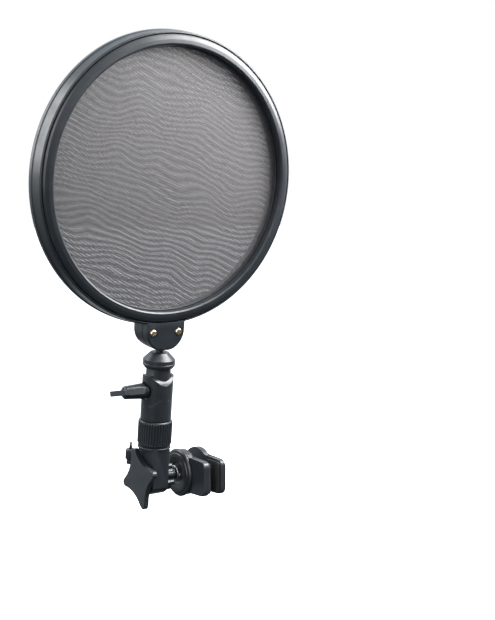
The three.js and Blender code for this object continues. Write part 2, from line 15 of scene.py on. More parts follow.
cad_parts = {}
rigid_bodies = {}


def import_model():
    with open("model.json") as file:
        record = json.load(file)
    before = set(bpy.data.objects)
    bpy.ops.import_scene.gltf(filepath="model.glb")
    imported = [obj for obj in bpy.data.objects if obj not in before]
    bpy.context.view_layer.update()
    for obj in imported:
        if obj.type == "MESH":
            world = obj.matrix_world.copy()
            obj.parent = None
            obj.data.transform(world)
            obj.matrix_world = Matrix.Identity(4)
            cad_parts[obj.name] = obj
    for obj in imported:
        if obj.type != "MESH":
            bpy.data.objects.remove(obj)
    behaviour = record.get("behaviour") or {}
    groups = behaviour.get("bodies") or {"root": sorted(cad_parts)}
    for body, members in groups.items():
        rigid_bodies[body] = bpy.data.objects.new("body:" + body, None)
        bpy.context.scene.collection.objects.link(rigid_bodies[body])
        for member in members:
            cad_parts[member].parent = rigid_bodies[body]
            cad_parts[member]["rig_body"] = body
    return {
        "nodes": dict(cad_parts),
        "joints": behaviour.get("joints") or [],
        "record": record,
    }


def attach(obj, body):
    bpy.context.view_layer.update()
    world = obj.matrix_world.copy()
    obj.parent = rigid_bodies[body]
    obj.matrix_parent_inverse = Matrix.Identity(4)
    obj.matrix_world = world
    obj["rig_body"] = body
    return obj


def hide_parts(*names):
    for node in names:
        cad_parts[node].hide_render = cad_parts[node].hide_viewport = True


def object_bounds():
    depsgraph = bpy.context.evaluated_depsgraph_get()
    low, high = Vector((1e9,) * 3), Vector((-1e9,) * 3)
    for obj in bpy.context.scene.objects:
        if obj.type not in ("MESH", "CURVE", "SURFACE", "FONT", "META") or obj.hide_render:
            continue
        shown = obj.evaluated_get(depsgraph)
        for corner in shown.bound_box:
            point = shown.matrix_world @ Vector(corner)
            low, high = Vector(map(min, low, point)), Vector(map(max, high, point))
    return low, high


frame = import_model()
cad_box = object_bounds()

MM = 0.001
TAU = 2 * math.pi

JOINTS = {joint["name"]: joint for joint in frame["joints"]}
PIVOT = Vector(JOINTS["arm_pivot"]["pos_m"])
ARM_AXIS = Vector(JOINTS["mast_slide"]["axis"])
ARM_LEAN = math.atan2(-ARM_AXIS.y, ARM_AXIS.z)
CLAMP = Matrix.Translation(PIVOT)
ARM = CLAMP @ Matrix.Rotation(ARM_LEAN, 4, "X")
BALL_Z = (Vector(JOINTS["ring_tilt"]["pos_m"]) - PIVOT).length / MM
SLOT_OF = {part["node"]: part["material_slot"] for part in frame["record"]["subparts"]}

# Turns a shape drawn about +Z, or drawn in (X, Y) and thick along Z, to lie along X or along Y.
ALONG_X = Matrix(((0, 0, 1, 0), (1, 0, 0, 0), (0, 1, 0, 0), (0, 0, 0, 1)))
ALONG_Y = Matrix(((0, 1, 0, 0), (0, 0, 1, 0), (1, 0, 0, 0), (0, 0, 0, 1)))


def span(node, where):
    """Lowest and highest corner of a CAD node in millimetres, in CLAMP or ARM."""
    to_local = where.inverted()
    points = [to_local @ v.co / MM for v in frame["nodes"][node].data.vertices]
    low = [min(p[i] for p in points) for i in range(3)]
    high = [max(p[i] for p in points) for i in range(3)]
    return Vector(low), Vector(high)


# ---- outlines ----


def rounded(points, radius=0.0, loop=True, steps=5):
    """The outline with its corners rounded, each by its own third number or else by radius."""
    made = []
    for i, point in enumerate(points):
        corner = Vector(point[:2])
        reach = point[2] if len(point) == 3 else radius
        if reach <= 0 or (not loop and i in (0, len(points) - 1)):
            made.append(corner)
            continue
        before = Vector(points[i - 1][:2]) - corner
        after = Vector(points[(i + 1) % len(points)][:2]) - corner
        half = before.angle(after) / 2
        if half > math.radians(88):
            made.append(corner)
            continue
        trim = min(reach / math.tan(half), 0.49 * before.length, 0.49 * after.length)
        middle = (before.normalized() + after.normalized()).normalized()
        centre = corner + middle * (trim / math.cos(half))
        start = corner + before.normalized() * trim - centre
        end = corner + after.normalized() * trim - centre
        turn = start.angle_signed(end)
        for k in range(steps + 1):
            made.append(centre + Matrix.Rotation(-turn * k / steps, 2) @ start)
    return made


def arc(start, middle, end, steps):
    """Points on the circle through three points, from start to end, both included."""
    a, b, c = Vector(start), Vector(middle), Vector(end)
    d = 2 * (a.x * (b.y - c.y) + b.x * (c.y - a.y) + c.x * (a.y - b.y))
    x = (a.dot(a) * (b.y - c.y) + b.dot(b) * (c.y - a.y) + c.dot(c) * (a.y - b.y)) / d
    y = (a.dot(a) * (c.x - b.x) + b.dot(b) * (a.x - c.x) + c.dot(c) * (b.x - a.x)) / d
    centre = Vector((x, y))
    first = (b - centre).angle_signed(a - centre)
    second = (c - centre).angle_signed(b - centre)
    turn = first + second
    spoke = a - centre
    return [centre + Matrix.Rotation(turn * k / steps, 2) @ spoke for k in range(steps + 1)]


def polar(radius_at, count):
    """A round outline whose radius changes with the angle."""
    angles = [TAU * k / count for k in range(count)]
    return [Vector((math.cos(a), math.sin(a))) * radius_at(a) for a in angles]


def circle(radius, count=64):
    return polar(lambda angle: radius, count)


def hexagon(across_flats, corner=0.25):
    return rounded(polar(lambda angle: across_flats / math.sqrt(3), 6), corner, steps=3)


# ---- solids, as meshes in millimetres ----


def mesh_from(bm):
    bmesh.ops.remove_doubles(bm, verts=bm.verts, dist=1e-5)
    bmesh.ops.recalc_face_normals(bm, faces=bm.faces)
    mesh = bpy.data.meshes.new("shape")
    bm.to_mesh(mesh)
    bm.free()
    return mesh


def loft(sections, ring=False):
    """Skin over sections that have equally many points: capped at its ends, or closed into a ring."""
    bm = bmesh.new()
    rows = [[bm.verts.new(point) for point in section] for section in sections]
    count = len(rows[0])
    pairs = list(zip(rows, rows[1:]))
    if ring:
        pairs.append((rows[-1], rows[0]))
    for low, high in pairs:
        for i in range(count):
            j = (i + 1) % count
            bm.faces.new((low[i], low[j], high[j], high[i]))
    if not ring:
        bm.faces.new(rows[0][::-1])
        bm.faces.new(rows[-1])
    return mesh_from(bm)


def at_height(outline, z):
    return [Vector((point[0], point[1], z)) for point in outline]


def prism(outline, low, high, edge=0.0, steps=3):
    """An outline in (X, Y) made thick from low to high, with its rims rounded by edge."""
    bm = bmesh.new()
    floor = [bm.verts.new(point) for point in at_height(outline, low)]
    roof = [bm.verts.new(point) for point in at_height(outline, high)]
    bm.faces.new(floor[::-1])
    bm.faces.new(roof)
    for i, vertex in enumerate(floor):
        j = (i + 1) % len(floor)
        bm.faces.new((vertex, floor[j], roof[j], roof[i]))
    if edge:
        rims = [e for e in bm.edges if abs(e.verts[0].co.z - e.verts[1].co.z) < 1e-6]
        bmesh.ops.bevel(bm, geom=rims, offset=edge, segments=steps, profile=0.5, affect="EDGES")
    return mesh_from(bm)


def in_rows(profile, tallest):
    """The profile with points added so that no stretch is longer than tallest."""
    made = [Vector(profile[0])]
    for point in profile[1:]:
        start, end = made[-1], Vector(point)
        count = math.ceil((end - start).length / tallest)
        made += [start.lerp(end, (k + 1) / count) for k in range(count)]
    return made


def lathe(profile, steps=72, loop=False):
    """A profile of (radius, height) turned about +Z. A looped profile makes a ring."""
    bm = bmesh.new()
    rows = []
    for k in range(steps):
        angle = TAU * k / steps
        spoke = Vector((math.cos(angle), math.sin(angle), 0))
        rows.append([bm.verts.new(spoke * r + Vector((0, 0, z))) for r, z in profile])
    last = len(profile) if loop else len(profile) - 1
    for near, far in zip(rows, rows[1:] + rows[:1]):
        for i in range(last):
            j = (i + 1) % len(profile)
            bm.faces.new((near[i], far[i], far[j], near[j]))
    return mesh_from(bm)


def rod(radius, low, high, edge=0.0, steps=48):
    corners = [(0, low), (radius, low), (radius, high), (0, high)]
    return lathe(rounded(corners, edge, loop=False, steps=3), steps)


def tube(inner, outer, low, high, edge=0.0, steps=72):
    corners = [(inner, low), (outer, low), (outer, high), (inner, high)]
    return lathe(rounded(corners, edge, steps=3), steps, loop=True)


def threaded(radius, low, high, pitch, steps=24):
    """A screw thread along +Z, as a skin whose radius follows a helix."""
    rows = max(2, round((high - low) / pitch * 6))
    sections = []
    for row in range(rows + 1):
        z = low + (high - low) * row / rows

        def radius_at(angle, z=z):
            phase = (z / pitch - angle / TAU) % 1.0
            return radius - 0.3 * pitch * abs(2 * phase - 1)

        sections.append(at_height(polar(radius_at, steps), z))
    return loft(sections)


def placed(mesh, matrix):
    """A copy of the mesh moved by a matrix, with its faces kept pointing out."""
    copy = mesh.copy()
    copy.transform(matrix)
    if matrix.determinant() < 0:
        copy.flip_normals()
    return copy


def shift(x=0.0, y=0.0, z=0.0):
    return Matrix.Translation((x, y, z))


def combined(how, first, *others):
    """The meshes cut from, joined to or kept in common with the first: DIFFERENCE, UNION, INTERSECT."""
    objects = [bpy.data.objects.new("work", mesh) for mesh in (first, *others)]
    for made in objects:
        bpy.context.scene.collection.objects.link(made)
    for tool in objects[1:]:
        modifier = objects[0].modifiers.new("step", "BOOLEAN")
        modifier.operation = how
        modifier.solver = "EXACT"
        modifier.object = tool
    depsgraph = bpy.context.evaluated_depsgraph_get()
    mesh = bpy.data.meshes.new_from_object(objects[0].evaluated_get(depsgraph))
    for made in objects:
        bpy.data.objects.remove(made)
    return mesh


def cut(first, *others):
    return combined("DIFFERENCE", first, *others)


def join(first, *others):
    return combined("UNION", first, *others)


def common(first, *others):
    return combined("INTERSECT", first, *others)


# ---- materials ----


def add(tree, kind, inputs=None, **settings):
    """A new node with its settings made and its inputs set or linked."""
    node = tree.nodes.new(kind)
    for key, value in settings.items():
        setattr(node, key, value)
    for key, value in (inputs or {}).items():
        if isinstance(value, bpy.types.NodeSocket):
            tree.links.new(value, node.inputs[key])
        else:
            node.inputs[key].default_value = value
    return node


def started(name):
    """A new material's empty node tree and the object's own coordinates in it."""
    material = bpy.data.materials.new(name)
    material.use_nodes = True
    tree = material.node_tree
    tree.nodes.clear()
    return material, tree, add(tree, "ShaderNodeTexCoord").outputs["Object"]


def noise(tree, coords, per_metre, detail=2.0, rough=0.5):
    inputs = {"Vector": coords, "Scale": per_metre, "Detail": detail, "Roughness": rough}
    return add(tree, "ShaderNodeTexNoise", inputs).outputs["Fac"]


def scaled(tree, value, low, high, from_low=0.3, from_high=0.7):
    inputs = {"Value": value, "To Min": low, "To Max": high, "From Min": from_low, "From Max": from_high}
    return add(tree, "ShaderNodeMapRange", inputs).outputs["Result"]


def math_of(tree, operation, first, second=0.0, third=0.0):
    inputs = {0: first, 1: second}
    if operation == "MULTIPLY_ADD":
        inputs[2] = third
    return add(tree, "ShaderNodeMath", inputs, operation=operation).outputs[0]


def mixed(tree, share, first, second):
    node = add(tree, "ShaderNodeMix", data_type="RGBA")
    for socket, value in zip((node.inputs[0], node.inputs[6], node.inputs[7]), (share, first, second)):
        if isinstance(value, bpy.types.NodeSocket):
            tree.links.new(value, socket)
        else:
            socket.default_value = value
    return node.outputs[2]


def bumped(tree, height, distance, strength=1.0, under=None):
    inputs = {"Height": height, "Distance": distance, "Strength": strength}
    if under is not None:
        inputs["Normal"] = under
    return add(tree, "ShaderNodeBump", inputs).outputs["Normal"]


def finished(material, tree, shader):
    add(tree, "ShaderNodeOutputMaterial", {"Surface": shader})
    return material


def plastic(name, dark, light, roughness, grain=0.00002):
    """Moulded plastic: a fine spark-eroded grain, faint cloudy colour, and a painted highlight that makes
    convex edges slightly paler.
    """
    material, tree, coords = started(name)
    cloud = noise(tree, coords, 90.0, 3.0)
    fine = noise(tree, coords, 3200.0, 2.0, 0.6)
    # Painted highlight: convex edges, found by pointiness, are made paler in patches.
    convex_edge = add(tree, "ShaderNodeNewGeometry").outputs["Pointiness"]
    edge = scaled(tree, convex_edge, 0.0, 0.5, 0.52, 0.6)
    painted_edge_highlight = math_of(tree, "MULTIPLY", edge, scaled(tree, noise(tree, coords, 700.0), 0.3, 1.0))
    body = mixed(tree, scaled(tree, cloud, 0.0, 1.0), (*dark, 1), (*light, 1))
    # The paler colour here is the painted edge highlight.
    colour = mixed(tree, painted_edge_highlight, body, (0.06, 0.065, 0.072, 1))
    rough = scaled(tree, noise(tree, coords, 160.0, 3.0), roughness - 0.05, roughness + 0.07)
    inputs = {
        "Base Color": colour,
        "Roughness": rough,
        "IOR": 1.5,
        "Normal": bumped(tree, fine, grain),
    }
    return finished(material, tree, add(tree, "ShaderNodeBsdfPrincipled", inputs).outputs[0])


def metal(name, dark, light, roughness):
    """Plated metal with a cloudy tone, fine turned scratches and small pits."""
    material, tree, coords = started(name)
    cloud = noise(tree, coords, 220.0, 3.0)
    scratch = noise(tree, coords, 2500.0, 4.0, 0.7)
    colour = mixed(tree, scaled(tree, cloud, 0.0, 1.0), (*dark, 1), (*light, 1))
    inputs = {
        "Base Color": colour,
        "Metallic": 1.0,
        "Roughness": scaled(tree, scratch, roughness - 0.06, roughness + 0.12),
        "Normal": bumped(tree, scratch, 0.000015),
    }
    return finished(material, tree, add(tree, "ShaderNodeBsdfPrincipled", inputs).outputs[0])


def rubber(name):
    """Matt black rubber with a dusty bloom."""
    material, tree, coords = started(name)
    dust = scaled(tree, noise(tree, coords, 400.0, 5.0, 0.65), 0.0, 0.35, 0.45, 0.75)
    colour = mixed(tree, dust, (0.012, 0.012, 0.013, 1), (0.05, 0.05, 0.05, 1))
    inputs = {
        "Base Color": colour,
        "Roughness": scaled(tree, dust, 0.72, 0.92, 0.0, 0.35),
        "Normal": bumped(tree, noise(tree, coords, 2200.0, 3.0), 0.00004),
    }
    return finished(material, tree, add(tree, "ShaderNodeBsdfPrincipled", inputs).outputs[0])


def nylon(name):
    """Natural, slightly yellow moulded nylon."""
    material, tree, coords = started(name)
    cloud = scaled(tree, noise(tree, coords, 300.0, 3.0), 0.0, 1.0)
    inputs = {
        "Base Color": mixed(tree, cloud, (0.52, 0.50, 0.44, 1), (0.64, 0.62, 0.56, 1)),
        "Roughness": scaled(tree, cloud, 0.42, 0.55, 0.0, 1.0),
        "Subsurface Weight": 0.15,
        "Subsurface Radius": (0.002, 0.002, 0.0015),
        "Normal": bumped(tree, noise(tree, coords, 1500.0, 2.0), 0.00002),
    }
    return finished(material, tree, add(tree, "ShaderNodeBsdfPrincipled", inputs).outputs[0])


def woven(name, pitches_mm, turn_deg, seed):
    """Open plain weave: two sets of fine threads over and under each other, see-through between them.

    The threads wander a little, as stretched nylon does, so that two layers make moire fringes. Fine
    fuzz stands across the gaps.
    """
    material, tree, coords = started(name)
    turned = add(
        tree,
        "ShaderNodeMapping",
        {"Vector": coords, "Rotation": (0, math.radians(turn_deg), 0), "Location": (seed, 0, 0)},
    ).outputs["Vector"]
    drift = add(tree, "ShaderNodeTexNoise", {"Vector": turned, "Scale": 24.0, "Detail": 1.5})
    centred = {0: drift.outputs["Color"], 1: (0.5, 0.5, 0.5)}
    drift = add(tree, "ShaderNodeVectorMath", centred, operation="SUBTRACT").outputs[0]
    wandering = {0: drift, 1: (0.003, 0.003, 0.003), 2: turned}
    wander = add(tree, "ShaderNodeVectorMath", wandering, operation="MULTIPLY_ADD").outputs[0]
    apart = add(tree, "ShaderNodeSeparateXYZ", {0: wander})
    ripples = []
    for axis, pitch_mm in zip(("X", "Z"), pitches_mm):
        phase = math_of(tree, "MULTIPLY", apart.outputs[axis], math.pi / (pitch_mm * MM))
        ripples.append(math_of(tree, "SINE", phase))
    ups = [math_of(tree, "ABSOLUTE", ripple) for ripple in ripples]
    threads = [scaled(tree, up, 0.0, 1.0, 0.58, 0.70) for up in ups]
    cover = scaled(tree, math_of(tree, "MAXIMUM", *threads), 0.08, 1.0, 0.0, 1.0)
    over = math_of(tree, "MULTIPLY", *ripples)
    height = math_of(tree, "MULTIPLY_ADD", over, 0.5, math_of(tree, "MAXIMUM", *ups))
    shade = noise(tree, coords, 1500.0, 3.0, 0.75)
    colour = mixed(tree, scaled(tree, shade, 0.0, 1.0), (0.018, 0.016, 0.017, 1), (0.128, 0.119, 0.123, 1))
    inputs = {
        "Base Color": colour,
        "Roughness": scaled(tree, shade, 0.45, 0.65),
        "Sheen Weight": 0.25,
        "Sheen Roughness": 0.4,
        "Alpha": cover,
        "Normal": bumped(tree, height, 0.0001, 0.6),
    }
    return finished(material, tree, add(tree, "ShaderNodeBsdfPrincipled", inputs).outputs[0])


MATERIALS = {
    "black_plastic": plastic("satin_black", (0.0120, 0.0145, 0.0175), (0.0170, 0.0200, 0.0240), 0.33),
    "jaw_rubber": rubber("rubber"),
    "steel": metal("zinc_steel", (0.50, 0.50, 0.51), (0.68, 0.68, 0.68), 0.28),
    "dark_steel": metal("black_steel", (0.045, 0.045, 0.05), (0.08, 0.08, 0.085), 0.34),
    "brass": metal("pale_brass", (0.62, 0.50, 0.33), (0.80, 0.68, 0.48), 0.24),
    "cup_nylon": nylon("nylon"),
    "screen_fabric": woven("weave_front", (0.46, 0.46), 4.5, 0.0),
}
REAR_WEAVE = woven("weave_rear", (0.48, 0.34), -4.5, 0.37)


# ---- pieces ----


def piece(name, mesh, where, *nodes, sharp=32.0):
    """Puts a mesh in millimetres in its frame, in place of CAD nodes and on their body."""
    mesh.transform(Matrix.Scale(MM, 4))
    mesh.name = name
    made = bpy.data.objects.new(name, mesh)
    bpy.context.scene.collection.objects.link(made)
    made.matrix_world = where
    mesh.polygons.foreach_set("use_smooth", [True] * len(mesh.polygons))
    mesh.set_sharp_from_angle(angle=math.radians(sharp))
    even = made.modifiers.new("even_shading", "WEIGHTED_NORMAL")
    even.keep_sharp = True
    slot = SLOT_OF[nodes[0]]
    mesh.materials.clear()
    mesh.materials.append(MATERIALS[slot])
    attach(made, frame["nodes"][nodes[0]]["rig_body"])
    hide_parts(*nodes)
    return made


# The screen: two shells, hoops and two layers of fabric.

RING_STEPS = 192
RING_LOW, RING_HIGH = span("rear_ring", ARM)
RING_R = RING_HIGH.x
RING_FRONT = RING_LOW.y
RING_REAR = 6.6
RING_Z = RING_HIGH.z - RING_R
ON_RING = shift(z=RING_Z) @ ALONG_Y
RIM_INSIDE = 72.9
LEDGE_INSIDE = 67.4


def rim():
    """The rear shell: a lip, a tapering side wall and a ledge that the fabric is held against."""
    ledge = span("rear_mesh", ARM)[1].y + 0.3
    return placed(lathe(rounded([
        (LEDGE_INSIDE, ledge),
        (LEDGE_INSIDE, RING_REAR - 0.5, 0.6),
        (RING_R - 1.5, RING_REAR, 0.5),
        (RING_R, RING_REAR - 0.5, 0.6),
        (RING_R, RING_REAR - 3.2, 0.3),
        (RING_R - 0.45, RING_REAR - 3.5, 0.1),
        (RING_R - 1.15, RING_FRONT + 0.6, 0.35),
        (RING_R - 1.6, RING_FRONT, 0.3),
        (RIM_INSIDE, RING_FRONT, 0.2),
        (RIM_INSIDE, ledge),
    ]), RING_STEPS, loop=True), ON_RING)


def front_ring():
    low, high = span("front_ring", ARM)
    front, back, outer = low.y, high.y, high.x
    return placed(lathe(rounded([
        (outer - 5.5, back, 0.1),
        (outer - 5.3, front + 0.5, 0.4),
        (outer - 4.5, front, 0.6),
        (outer - 2.6, front + 0.1, 1.6),
        (outer - 0.8, front + 0.7, 0.7),
        (outer, front + 1.6, 0.5),
        (outer, back, 0.1),
    ]), RING_STEPS, loop=True), ON_RING)


def hoop(node, inner):
    low, high = span(node, ARM)
    return placed(tube(inner, high.x, low.y, high.y, 0.3, RING_STEPS), ON_RING)


def fabric(node, seed):
    """A disc of cloth stretched between the hoops, with the faint ripples that uneven tension leaves."""
    low, high = span(node, ARM)
    radius = high.x - 0.3
    middle = (low.y + high.y) / 2
    rings, spokes = 28, 144
    bm = bmesh.new()
    hub = bm.verts.new((0, middle, RING_Z))
    rows = []
    for ring in range(1, rings + 1):
        r = radius * ring / rings
        calm = 1 - (ring / rings) ** 6
        row = []
        for spoke in range(spokes):
            a = TAU * spoke / spokes
            wave = math.sin(5 * a + seed) * 0.5 + math.sin(11 * a + 2.3 * seed) * 0.3
            depth = 0.14 * wave * calm * (ring / rings)
            row.append(bm.verts.new((r * math.cos(a), middle + depth, RING_Z + r * math.sin(a))))
        rows.append(row)
    for i in range(spokes):
        bm.faces.new((hub, rows[0][i], rows[0][(i + 1) % spokes]))
    for near, far in zip(rows, rows[1:]):
        for i in range(spokes):
            j = (i + 1) % spokes
            bm.faces.new((near[i], far[i], far[j], near[j]))
    return mesh_from(bm), radius * MM


def screen():
    piece("front_ring_moulding", front_ring(), ARM, "front_ring")
    piece("front_retaining_hoop", hoop("front_hoop", 66.2), ARM, "front_hoop")
    piece("inner_spacer_hoop", hoop("spacer_hoop", 67.0), ARM, "spacer_hoop")
    for name, node, seed in (("front_fabric", "front_mesh", 0.4), ("rear_fabric", "rear_mesh", 2.1)):
        mesh, radius = fabric(node, seed)
        sheet = piece(name, mesh, ARM, node)
        if node == "rear_mesh":
            sheet.data.materials[0] = REAR_WEAVE


# The ball joint: a boss in two shells under the ring, held by two screws round the ball.

COVER_LOW, COVER_HIGH = span("socket_cover", ARM)
BOSS_HALF = COVER_HIGH.x
BOSS_DROP = BALL_Z - COVER_LOW.z
BOSS_ROUND = 10.1
SCREW_LOW, SCREW_HIGH = span("socket_screw_right", ARM)
SCREW_X = (SCREW_LOW.x + SCREW_HIGH.x) / 2
SCREW_Z = (SCREW_LOW.z + SCREW_HIGH.z) / 2


def boss_section(y, inset, top):
    """The boss's U at one depth. Its bottom also keeps its distance from the ball, to let it swing."""
    half = BOSS_HALF - inset
    centre = BALL_Z - BOSS_DROP + BOSS_HALF
    beside = BALL_Z - math.sqrt(BOSS_ROUND**2 - y * y) + inset
    outline = [(-half, top)]
    for k in range(33):
        a = math.pi * k / 32
        below = centre - half * math.sin(a)
        blend = math.sqrt((below - beside) ** 2 + 0.6)
        outline.append((-half * math.cos(a), (below + beside + blend) / 2))
    outline.append((half, top))
    return [Vector((x, y, z)) for x, z in outline]


def boss(front, rear, top, front_edge, rear_edge):
    """A stretch of the boss between two depths, with its rims rounded."""
    sections = []
    for k in range(5):
        a = math.pi / 2 * k / 4
        y = front + front_edge * (1 - math.sin(a))
        sections.append(boss_section(y, front_edge * (1 - math.cos(a)), top))
    sections.reverse()
    for k in range(1, 8):
        y = front + front_edge + (rear - rear_edge - front - front_edge) * k / 8
        sections.append(boss_section(y, 0, top))
    for k in range(5):
        a = math.pi / 2 * k / 4
        y = rear - rear_edge * (1 - math.sin(a))
        sections.append(boss_section(y, rear_edge * (1 - math.cos(a)), top))
    return loft(sections)


def socket_hollow():
    """The hollow round the ball cup, and the flared mouth that the neck swings in."""
    steps = 16
    half_turn = [math.pi * k / steps - math.pi / 2 for k in range(steps + 1)]
    radius = 5.2
    sphere = [(radius * math.cos(a), BALL_Z + radius * math.sin(a)) for a in half_turn]
    sphere[0] = (0, sphere[0][1])
    sphere[-1] = (0, sphere[-1][1])
    wide, near = 6.35, 2.85
    foot, top = BALL_Z - 13, BALL_Z - 2
    mouth = [(0, foot), (wide, foot), (near, top), (0, top)]
    return join(lathe(sphere, 40), lathe(mouth, 40))


def screw_holes(*profile):
    hole = placed(lathe(list(profile), 32), ALONG_Y)
    return [placed(hole, shift(x, 0, SCREW_Z)) for x in (SCREW_X, -SCREW_X)]


def rear_shell():
    rear = boss(0, RING_HIGH.y, RING_Z - RING_R + 1.5, 0.35, 0.8)
    holes = screw_holes((0, -1), (2.2, -1), (2.2, 4.5), (0, 4.5))
    return cut(join(rim(), rear), socket_hollow(), *holes)


def socket_cover():
    front, rear = COVER_LOW.y, COVER_HIGH.y
    block = boss(front, rear, RING_Z - 72.2, 0.9, 0.35)
    above = placed(lathe([
        (0, -8), (72.9, -8), (72.9, -4.4), (73.9, -4.4), (75, 1), (0, 1),
    ], RING_STEPS), ON_RING)
    holes = screw_holes((0, -8), (2.15, -8), (2.15, -4.2), (1.35, -4.2), (1.35, 2), (0, 2))
    return cut(block, above, socket_hollow(), *holes)


def socket_screw(x):
    """A pan-head screw with a cross recess."""
    front, rear = SCREW_LOW.y, SCREW_HIGH.y
    head = (SCREW_HIGH.x - SCREW_LOW.x) / 2
    body = placed(lathe(rounded([
        (0, front), (head - 0.5, front, 0.6), (head, front + 0.6, 0.3), (head, front + 1.4),
        (1.1, front + 1.4), (1.1, rear), (0, rear),
    ], loop=False), 40), ALONG_Y)
    slot = [(-1.25, -0.24), (1.25, -0.24), (1.25, 0.24), (-1.25, 0.24)]
    across = placed(prism(slot, front - 1, front + 0.7), ALONG_Y)
    upright = placed(across, Matrix.Rotation(math.pi / 2, 4, "Y"))
    turned = placed(cut(body, join(across, upright)), Matrix.Rotation(math.radians(25), 4, "Y"))
    return placed(turned, shift(x, 0, SCREW_Z))


def socket_insert(x):
    low, high = span("socket_insert_right", ARM)
    return placed(placed(tube(1.3, 1.95, low.y, high.y, 0.1, 32), ALONG_Y), shift(x, 0, SCREW_Z))


def ball_stud():
    """Ball, neck, cone, a banded flange and the spigot that turns in the shaft."""
    low, high = span("ball_stud", ARM)
    ball = high.z - BALL_Z
    neck = 1.9
    start = -math.acos(neck / ball)
    angles = [start + (math.pi / 2 - start) * k / 20 for k in range(20)]
    sphere = [(ball * math.cos(a), BALL_Z + ball * math.sin(a)) for a in angles]
    profile = rounded([
        (0, low.z), (3.5, low.z, 0.3), (3.5, 60.1), (7.5, 60.1, 0.3), (8.5, 61.6, 0.25),
        (8.5, 62.5, 0.1), (8.3, 62.7, 0.1), (8.3, 62.9, 0.1), (8.5, 63.1, 0.1),
        (8.5, 64.7, 0.35), (4.8, 68.4, 0.4), (neck, 68.5),
    ], loop=False, steps=4)
    return lathe([*profile, *sphere, (0, high.z)], 80)


def ball_cup():
    mouth = 2.9
    inner_r, outer_r = 4.05, 4.95

    def sphere(radius, from_low):
        low = -math.acos(mouth / radius)
        share = [k / 14 if from_low else 1 - k / 14 for k in range(15)]
        angles = [low + (math.pi / 2 - low) * s for s in share]
        return [(radius * math.cos(a), BALL_Z + radius * math.sin(a)) for a in angles]

    inner = sphere(inner_r, False)
    outer = sphere(outer_r, True)
    inner[0] = (0, inner[0][1])
    outer[-1] = (0, outer[-1][1])
    return lathe([*inner, *outer], 48)


def ball_joint():
    piece("rear_ring_moulding", rear_shell(), ARM, "rear_ring")
    piece("socket_cover_moulding", socket_cover(), ARM, "socket_cover")
    for side, x in (("left", -SCREW_X), ("right", SCREW_X)):
        piece(f"cross_screw_{side}", socket_screw(x), ARM, f"socket_screw_{side}")
        piece(f"screw_insert_{side}", socket_insert(x), ARM, f"socket_insert_{side}")
    piece("ball_and_cone", ball_stud(), ARM, "ball_stud")
    piece("ball_cup_liner", ball_cup(), ARM, "ball_cup")


# The arm: shaft, sleeve, lock screw, collar, knuckle.

SLEEVE_LOW, SLEEVE_HIGH = span("sleeve", ARM)
SLEEVE_R = SLEEVE_HIGH.x
COLLAR_LOW, COLLAR_HIGH = span("fluted_collar", ARM)
KNUCKLE_LOW, KNUCKLE_HIGH = span("pivot_knuckle", ARM)
WING_LOW, WING_HIGH = span("wing_screw", ARM)
LOCK_Z = (WING_LOW.z + WING_HIGH.z) / 2
SHAFT_R = 6.5
FLAT_X = -5.2
ARCH_R = 8.9
FIT = 0.3
ON_SCREW = shift(z=LOCK_Z) @ ALONG_X


def d_outline(radius, flat_x):
    """A round bar's outline with a flat on its -X side."""
    half = math.acos(-flat_x / radius)
    angles = [-(math.pi - half) + 2 * (math.pi - half) * k / 60 for k in range(61)]
    return [Vector((radius * math.cos(a), radius * math.sin(a))) for a in angles]


def mast_shaft():
    low, high = span("mast_shaft", ARM)
    bar = prism(d_outline(SHAFT_R, FLAT_X), low.z, high.z, 0.35)
    pocket = rod(4.2, low.z - 1, low.z + 4)
    socket = rod(3.8, 48, high.z + 1)
    return cut(bar, pocket, socket)


def sleeve():
    """The sleeve, with a rim that arches over the lock screw's recess at each side."""
    low, high = SLEEVE_LOW.z, SLEEVE_HIGH.z
    shelf = COLLAR_HIGH.z + FIT
    skirt = 7.3
    saddle = 52.0
    recess_floor = -6.2
    body = lathe(in_rows(rounded([
        (0, low), (skirt, low, 0.2), (skirt, shelf),
        (SLEEVE_R, shelf, 0.3), (SLEEVE_R, saddle, 0.3), (0, saddle),
    ], loop=False, steps=3), 1.5), 96)
    tall = lathe(in_rows([(0, shelf + 2), (SLEEVE_R, shelf + 2), (SLEEVE_R, high), (0, high)], 1.5), 96)
    arch = placed(lathe(rounded([
        (0, -SLEEVE_R - 1), (ARCH_R - 1.2, -SLEEVE_R - 1), (ARCH_R, -SLEEVE_R + 1.2),
        (ARCH_R, SLEEVE_R - 1.2), (ARCH_R - 1.2, SLEEVE_R + 1), (0, SLEEVE_R + 1),
    ], loop=False), 128), ON_SCREW)
    bore = prism(d_outline(SHAFT_R + FIT, FLAT_X - FIT), 29, high + 2)
    journal = rod(4.8, low - 1, 27)
    screw_hole = rod(1.8, 26, 30)
    recess = placed(rod(4.9, -SLEEVE_R - 2, recess_floor, 0.25, 72), ON_SCREW)
    insert_hole = placed(rod(3.1, -SLEEVE_R - 2, 0), ON_SCREW)
    return cut(join(body, common(tall, arch)), bore, journal, screw_hole, recess, insert_hole)


